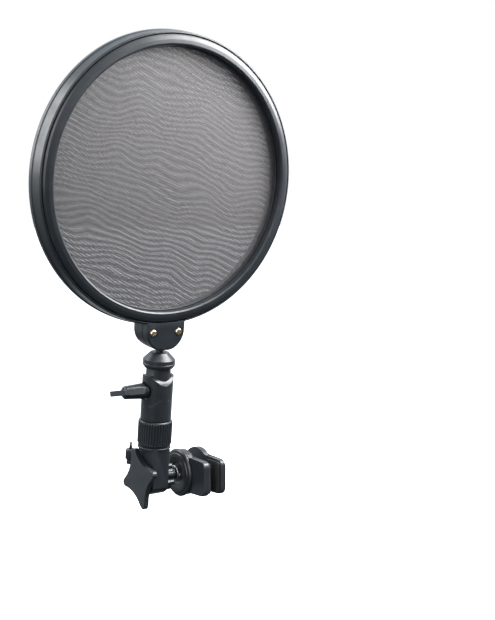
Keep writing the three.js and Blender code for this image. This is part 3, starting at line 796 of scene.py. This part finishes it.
def lock_screw():
    """A tapered barrel with two flat wings, and a round foot that stands in the sleeve's recess."""
    outer, inner = -20.5, WING_HIGH.x
    barrel = lathe(rounded([
        (0, outer), (3.4, outer, 1.2), (4.2, -9.3, 0.3), (3.95, -8.6, 0.2), (3.95, inner, 0.2), (0, inner),
    ], loop=False), 64)
    reach = WING_HIGH.y
    wing_outline = rounded([
        (WING_LOW.x, -reach), (-11.7, -reach), (-11.7, reach), (WING_LOW.x, reach),
    ], 2.0)
    blade = prism(wing_outline, -1.45, 1.45, 0.4)
    rib_outline = rounded([(outer + 0.8, -4.5), (-9.6, -4.5), (-9.6, 4.5), (outer + 0.8, 4.5)], 1.2)
    rib = prism(rib_outline, -1.75, 1.75, 0.3)
    turned = Matrix.Rotation(math.radians(-17), 4, "X")
    screw = join(placed(barrel, ALONG_X), placed(blade, turned), placed(rib, turned))
    bore = placed(rod(1.8, -16, inner + 1, 0.0, 32), ALONG_X)
    insert_room = placed(rod(3.1, -7.9, inner + 1, 0.0, 48), ALONG_X)
    return placed(cut(screw, bore, insert_room), shift(z=LOCK_Z))


def collar():
    """Forty fine flutes that fade out into a smooth band at each end."""
    low, high = COLLAR_LOW.z, COLLAR_HIGH.z
    outer = COLLAR_HIGH.x
    flutes = 40
    count = flutes * 10
    inside = 7.6
    stations = [
        (low, outer - 1.0, 0.0), (low + 0.5, outer - 0.9, 0.0), (low + 0.8, outer - 0.5, 0.0),
        (low + 1.1, outer - 0.25, 0.1), (low + 1.5, outer, 0.5), (low + 2.0, outer, 0.5),
        (high - 1.6, outer, 0.5), (high - 1.1, outer, 0.45), (high - 0.7, outer - 0.15, 0.15),
        (high - 0.4, outer - 0.3, 0.0), (high - 0.1, outer - 0.55, 0.0), (high, outer - 0.8, 0.0),
    ]
    sections = []
    for z, radius, depth in stations:
        def radius_at(angle, radius=radius, depth=depth):
            wave = 0.5 - 0.5 * math.tanh(2.2 * math.cos(flutes * angle))
            return radius - depth * wave
        sections.append(at_height(polar(radius_at, count), z))
    for z in (high, low):
        sections.append(at_height(circle(inside, count), z))
    return loft(sections, ring=True)


def knuckle():
    """The foot of the arm: a flat cheek on the pivot bolt, a flange, the spigot and the rear lug."""
    flange = (16.7, 17.8)
    half = 8.4
    round_r = -KNUCKLE_LOW.z
    start = math.asin(half / round_r)
    bottom = [math.pi * 1.5 - start + 2 * start * k / 24 for k in range(25)]
    column = [(-half, flange[0] + 0.5)]
    column += [(round_r * math.cos(a), round_r * math.sin(a)) for a in bottom]
    column += [(half, flange[0] + 0.5)]
    cheek = placed(prism(column, -4.6, 5.0, 0.5), ALONG_X)
    disc = rod(KNUCKLE_HIGH.x, *flange, 0.3, 80)
    spigot = rod(4.5, flange[0], KNUCKLE_HIGH.z, 0.3)
    lug_low, lug_high = 0.7, 2.9
    stud = span("lug_stud", ARM)
    lug_x, lug_y = (stud[0].x + stud[1].x) / 2, (stud[0].y + stud[1].y) / 2
    bar = rounded([(lug_x - 1.6, 6), (lug_x + 2, 6), (lug_x + 2, lug_y), (lug_x - 1.6, lug_y)], 0.2)
    lug_end = placed(rod(2.0, lug_low, lug_high, 0.25), shift(lug_x, lug_y))
    lug = join(prism(bar, lug_low, lug_high, 0.25), lug_end)
    bore = placed(rod(2.8, -4, 6), ALONG_X)
    stud_hole = placed(rod(1.1, lug_low - 1, lug_high + 1), shift(lug_x, lug_y))
    screw_hole = rod(1.7, 20, 28)
    return cut(join(cheek, disc, spigot, lug), bore, screw_hole, stud_hole)


def lug_stud():
    low, high = span("lug_stud", ARM)
    x, y = (low.x + high.x) / 2, (low.y + high.y) / 2
    plain = rod(0.8, low.z, high.z - 1.9, 0.1)
    tip = threaded(0.68, high.z - 2.1, high.z, 0.5)
    return placed(join(plain, tip), shift(x, y))


def lug_nut():
    """A small knurled barrel nut with chamfered ends."""
    low, high = span("lug_nut", ARM)
    x, y = (low.x + high.x) / 2, (low.y + high.y) / 2
    outer = (high.x - low.x) / 2
    sections = []
    stations = [(low.z, 0.55, 0), (low.z + 0.45, 0.15, 0.15), (low.z + 0.9, 0, 0.3),
                (high.z - 0.9, 0, 0.3), (high.z - 0.45, 0.15, 0.15), (high.z, 0.6, 0)]
    for z, inset, depth in stations:
        def radius_at(angle, inset=inset, depth=depth):
            return outer - inset - depth * (0.5 - 0.5 * math.cos(16 * angle))
        sections.append(at_height(polar(radius_at, 96), z))
    for z in (high.z, low.z):
        sections.append(at_height(circle(1.05, 96), z))
    return placed(loft(sections, ring=True), shift(x, y))


def swivel_screw():
    low, high = span("swivel_screw", ARM)
    head = high.x
    shank = threaded(1.5, low.z, 29.5, 0.7)
    cap = rod(head, 29.3, high.z, 0.4)
    return cut(join(shank, cap), prism(hexagon(2.5, 0.1), high.z - 1.2, high.z + 1))


def arm():
    piece("sliding_shaft", mast_shaft(), ARM, "mast_shaft")
    piece("arched_sleeve", sleeve(), ARM, "sleeve")
    piece("winged_lock_screw", lock_screw(), ARM, "wing_screw")
    low, high = span("wing_stud", ARM)
    stud = placed(threaded(1.6, low.x, high.x, 0.7), ON_SCREW)
    piece("lock_screw_stud", stud, ARM, "wing_stud")
    low, high = span("thread_insert", ARM)
    insert = placed(tube(1.85, 2.8, low.x, high.x, 0.15, 40), ON_SCREW)
    piece("lock_screw_insert", insert, ARM, "thread_insert")
    low, high = span("pressure_pad", ARM)
    pad = placed(rod(1.5, low.x, high.x, 0.2), ON_SCREW)
    piece("lock_screw_pad", pad, ARM, "pressure_pad")
    piece("fluted_lock_collar", collar(), ARM, "fluted_collar")
    piece("pivot_knuckle_moulding", knuckle(), ARM, "pivot_knuckle")
    piece("swivel_cap_screw", swivel_screw(), ARM, "swivel_screw")
    piece("rear_lug_stud", lug_stud(), ARM, "lug_stud")
    piece("rear_lug_nut", lug_nut(), ARM, "lug_nut")


# The clamp: star knob, hub, bush, washer, disc, jaws, bolt.

BOLT_R = 2.4
BOLT_HOLE_R = BOLT_R + 0.4
BOLT_HEX = 8  # across the flats of the bolt's head and nut
POCKET_HEX = 8.4  # of the pockets that hold them
GUIDE_Y = 8.4  # the guide pin, behind the bolt
KNOB_PLATE_BACK = -6.2


def star_outline(tip, tip_round, hollow):
    """Four round tips joined by shallow hollows. The first tip leans from +Z towards +Y."""
    lean = math.radians(18)
    spread = math.radians(62)
    reach = tip - tip_round
    tips = []
    for lobe in range(4):
        angle = math.pi / 2 - lean + lobe * math.pi / 2
        centre = Vector((math.cos(angle), math.sin(angle))) * reach
        ways = [angle - spread + 2 * spread * k / 10 for k in range(11)]
        tips.append([centre + Vector((math.cos(w), math.sin(w))) * tip_round for w in ways])
    outline = []
    for lobe, points in enumerate(tips):
        between = math.pi / 2 - lean + (lobe + 0.5) * math.pi / 2
        middle = Vector((math.cos(between), math.sin(between))) * hollow
        outline += points
        outline += arc(points[-1], middle, tips[(lobe + 1) % 4][0], 16)[1:-1]
    return outline


def star_knob():
    """A flat star plate with a round hub behind it that holds the bolt's head."""
    low, high = span("star_knob", CLAMP)
    star = star_outline(tip=16.3, tip_round=2.2, hollow=9.6)
    plate = placed(prism(star, low.x, KNOB_PLATE_BACK, 0.5), ALONG_X)
    hub = placed(rod(7.5, KNOB_PLATE_BACK - 1, high.x, 0.3), ALONG_X)
    pocket = placed(prism(hexagon(POCKET_HEX), high.x - 3.0, high.x + 1), ALONG_X)
    return cut(join(plate, hub), pocket)


def pivot_bolt():
    low, high = span("pivot_bolt", CLAMP)
    head = prism(hexagon(BOLT_HEX), low.x, low.x + 2.9, 0.3)
    shank = rod(BOLT_R, low.x + 2, 24)
    thread = threaded(BOLT_R, 23.5, high.x - 0.5, 0.8, 32)
    tip = rod(BOLT_R - 0.3, high.x - 1, high.x, 0.3)
    return placed(join(head, shank, thread, tip), ALONG_X)


def pivot_hub():
    """A hub with nine deep flutes, chamfered on both faces."""
    low, high = span("pivot_hub", ARM)
    outline = polar(lambda a: 7.3 + 0.8 * math.tanh(2.2 * math.cos(9 * a)), 180)
    body = placed(prism(outline, low.x, high.x, 0.4), ALONG_X)
    return cut(body, placed(rod(BOLT_HOLE_R, low.x - 1, high.x + 1), ALONG_X))


def clamp_disc():
    """A dished face with a raised ring and a stepped, rounded rim."""
    low, high = span("clamp_disc", CLAMP)
    face, back, outer = low.x, high.x, high.y
    return placed(lathe(rounded([
        (BOLT_HOLE_R, face + 0.9),
        (5.2, face + 0.9, 0.5),
        (5.8, face + 0.5, 0.5),
        (8.6, face, 0.8),
        (10.4, face, 0.3),
        (10.8, face + 0.45, 0.2),
        (12.1, face + 0.6, 0.5),
        (outer, face + 1.3, 0.4),
        (outer, back, 0.3),
        (BOLT_HOLE_R, back),
    ], steps=4), 128, loop=True), ALONG_X)


def jaw_outline(low, high):
    """A round end about the bolt and a tongue that reaches forward to the rod."""
    radius = high.z
    half = 9.2
    start = math.atan2(half, math.sqrt(radius**2 - half**2))
    sweep = [-(math.pi - start) + 2 * (math.pi - start) * k / 40 for k in range(41)]
    nose = rounded([(low.y, half), (low.y, -half)], 0)
    round_end = [Vector((radius * math.cos(a), radius * math.sin(a))) for a in sweep]
    corners = [(*point, 0) for point in round_end] + [(*nose[0], 3.0), (*nose[1], 3.0)]
    return rounded(corners, steps=6)


def clamp_plate():
    low, high = span("clamp_body", CLAMP)
    plate = placed(prism(jaw_outline(low, high), low.x, high.x, 0.5), ALONG_X)
    bore = placed(rod(BOLT_HOLE_R, low.x - 1, high.x + 1), ALONG_X)
    pin_hole = placed(rod(1.6, low.x + 0.6, high.x + 1), shift(y=GUIDE_Y) @ ALONG_X)
    return cut(plate, bore, pin_hole)


def jaw_plate():
    low, high = span("jaw_plate", CLAMP)
    plate = placed(prism(jaw_outline(low, high), low.x, high.x, 0.5), ALONG_X)
    bore = placed(rod(BOLT_HOLE_R, low.x - 1, high.x + 1), ALONG_X)
    pin_hole = placed(rod(1.8, low.x - 1, high.x + 1), shift(y=GUIDE_Y) @ ALONG_X)
    pocket = placed(prism(hexagon(POCKET_HEX), low.x + 1.4, high.x + 1), ALONG_X)
    return cut(plate, bore, pin_hole, pocket)


def jaw_pad(node, gripping):
    """A rubber pad with upright grooves on the side that grips the rod."""
    low, high = span(node, CLAMP)
    outline = rounded([(low.y, low.z), (high.y, low.z), (high.y, high.z), (low.y, high.z)], 1.0)
    pad = placed(prism(outline, low.x, high.x, 0.2), ALONG_X)
    face = high.x if gripping > 0 else low.x
    grooves = []
    for k in range(5):
        y = low.y + (high.y - low.y) * (k + 0.5) / 5
        groove = rod(0.45, low.z - 1, high.z + 1, 0.0, 16)
        grooves.append(placed(groove, shift(face + 0.15 * gripping, y)))
    return cut(pad, *grooves)


def jaw_nut():
    low, high = span("jaw_nut", CLAMP)
    body = placed(prism(hexagon(BOLT_HEX), low.x, high.x, 0.35), ALONG_X)
    return cut(body, placed(rod(BOLT_R + 0.2, low.x - 1, high.x + 1), ALONG_X))


def clamp():
    piece("star_knob_moulding", star_knob(), CLAMP, "star_knob")
    piece("pivot_bolt_steel", pivot_bolt(), CLAMP, "pivot_bolt")
    piece("fluted_hub", pivot_hub(), ARM, "pivot_hub")
    low, high = span("spacer_bush", ARM)
    bush = placed(tube(BOLT_R + 0.3, 3.5, low.x, high.x, 0.2), ALONG_X)
    piece("bush_sleeve", bush, ARM, "spacer_bush")
    low, high = span("bolt_washer", CLAMP)
    washer = placed(tube(BOLT_R + 0.3, high.y, low.x, high.x, 0.25), ALONG_X)
    piece("steel_washer", washer, CLAMP, "bolt_washer")
    piece("clamp_face_disc", clamp_disc(), CLAMP, "clamp_disc")
    piece("fixed_jaw_moulding", clamp_plate(), CLAMP, "clamp_body")
    piece("moving_jaw_moulding", jaw_plate(), CLAMP, "jaw_plate")
    piece("fixed_rubber_pad", jaw_pad("fixed_jaw_pad", 1), CLAMP, "fixed_jaw_pad")
    piece("moving_rubber_pad", jaw_pad("moving_jaw_pad", -1), CLAMP, "moving_jaw_pad")
    piece("trapped_hex_nut", jaw_nut(), CLAMP, "jaw_nut")
    low, high = span("guide_pin", CLAMP)
    pin = placed(rod(high.z, low.x, high.x, 0.4), shift(y=(low.y + high.y) / 2) @ ALONG_X)
    piece("guide_pin_steel", pin, CLAMP, "guide_pin")


# ---- camera, floor and light ----


def camera():
    """At the viewing angle of 36 degrees to the screen's left, a little above it."""
    turn, drop = math.radians(-36.1), math.radians(5.0)
    forward = Vector((-math.sin(turn) * math.cos(drop), math.cos(turn) * math.cos(drop), -math.sin(drop)))
    sideways = Vector((math.cos(turn), math.sin(turn), 0))
    distance, aside = 0.5999, 0.0508
    aim = CLAMP @ (Vector((0, 0, 89.1)) * MM)
    data = bpy.data.cameras.new("camera")
    data.lens = 66.2
    made = bpy.data.objects.new("camera", data)
    bpy.context.scene.collection.objects.link(made)
    made.location = aim - forward * distance + sideways * aside
    made.rotation_mode = "QUATERNION"
    made.rotation_quaternion = forward.to_track_quat("-Z", "Y")
    bpy.context.scene.camera = made


def floor():
    """A white floor that melts into the white background and isn't mirrored in the plastic."""
    material, tree, coords = started("pale_floor")
    tone = scaled(tree, noise(tree, coords, 3.0, 3.0), 0.0, 1.0)
    inputs = {
        "Base Color": mixed(tree, tone, (0.86, 0.86, 0.86, 1), (0.88, 0.88, 0.88, 1)),
        "Roughness": 0.7,
        "Emission Color": (1, 1, 1, 1),
        "Emission Strength": 0.8,
    }
    finished(material, tree, add(tree, "ShaderNodeBsdfPrincipled", inputs).outputs[0])
    mesh = bpy.data.meshes.new("floor")
    reach = 12.0
    height = cad_box[0].z - 0.06
    square = ((-reach, -reach), (reach, -reach), (reach, reach), (-reach, reach))
    corners = [(x, y, height) for x, y in square]
    mesh.from_pydata(corners, [], [(0, 1, 2, 3)])
    mesh.materials.append(material)
    made = bpy.data.objects.new("floor", mesh)
    bpy.context.scene.collection.objects.link(made)
    made.visible_glossy = False
    made.visible_diffuse = False


def softbox(name, direction, distance, size, power, colour=(1, 1, 1)):
    """A rectangular area light that looks at the screen's middle from a direction."""
    middle = ARM @ (Vector((0, 0, RING_Z)) * MM)
    data = bpy.data.lights.new(name, "AREA")
    data.shape = "RECTANGLE"
    data.size, data.size_y = size
    data.energy = power
    data.color = colour
    made = bpy.data.objects.new(name, data)
    bpy.context.scene.collection.objects.link(made)
    away = Vector(direction).normalized()
    made.location = middle + away * distance
    made.rotation_mode = "QUATERNION"
    made.rotation_quaternion = away.to_track_quat("Z", "Y")


BACKDROP = (0.587, 0.805, -0.087)


def studio():
    """A room that is dark below and bright above, with a white backdrop ahead of the camera.

    The tone climbs slowly on the backdrop's side and steeply on the camera's side. What the camera sees
    past the object is plain white all over.
    """
    world = bpy.data.worlds.new("studio")
    bpy.context.scene.world = world
    world.use_nodes = True
    tree = world.node_tree
    tree.nodes.clear()
    way = add(tree, "ShaderNodeTexCoord").outputs["Generated"]
    apart = add(tree, "ShaderNodeSeparateXYZ", {0: way})
    rear = scaled(tree, apart.outputs["Z"], 0.0, 1.25, -0.45, 0.35)
    front = scaled(tree, apart.outputs["Z"], 0.06, 1.05, -0.15, 0.05)
    depth = scaled(tree, apart.outputs["Y"], 0.0, 1.0, -0.6, 0.6)
    rise = math_of(tree, "SUBTRACT", rear, front)
    walls = math_of(tree, "MULTIPLY_ADD", rise, depth, front)
    ahead = add(tree, "ShaderNodeVectorMath", {0: way, 1: BACKDROP}, operation="DOT_PRODUCT").outputs["Value"]
    backdrop = scaled(tree, ahead, 0.0, 1.3, 0.72, 0.95)
    room = math_of(tree, "MAXIMUM", walls, backdrop)
    bright = math_of(tree, "MULTIPLY_ADD", room, 1.0, 0.05)
    dim = add(tree, "ShaderNodeBackground", {"Color": (0.84, 0.93, 1.0, 1), "Strength": bright}).outputs[0]
    white = add(tree, "ShaderNodeBackground", {"Color": (1, 1, 1, 1), "Strength": 1.0}).outputs[0]
    seen = add(tree, "ShaderNodeLightPath").outputs["Is Camera Ray"]
    both = add(tree, "ShaderNodeMixShader", {0: seen, 1: dim, 2: white}).outputs[0]
    add(tree, "ShaderNodeOutputWorld", {"Surface": both})


def lights():
    softbox("left", (-1.0, -0.55, 0.25), 0.9, (0.3, 0.8), 3.6)
    softbox("left_rear", (-0.75, 0.8, 0.5), 0.9, (0.5, 0.6), 5.0)
    softbox("above", (0.5, -0.2, 0.9), 0.7, (0.6, 0.45), 3.4)
    softbox("high_right", (0.75, -0.5, 0.65), 0.22, (0.18, 0.18), 1.7, (1.0, 0.98, 0.97))
    softbox("right", (1.0, -0.55, 0.5), 0.5, (0.25, 0.3), 2.6, (0.93, 0.97, 1.0))


camera()
floor()
studio()
lights()
screen()
ball_joint()
arm()
clamp()
bpy.context.scene.view_settings.view_transform = "Standard"
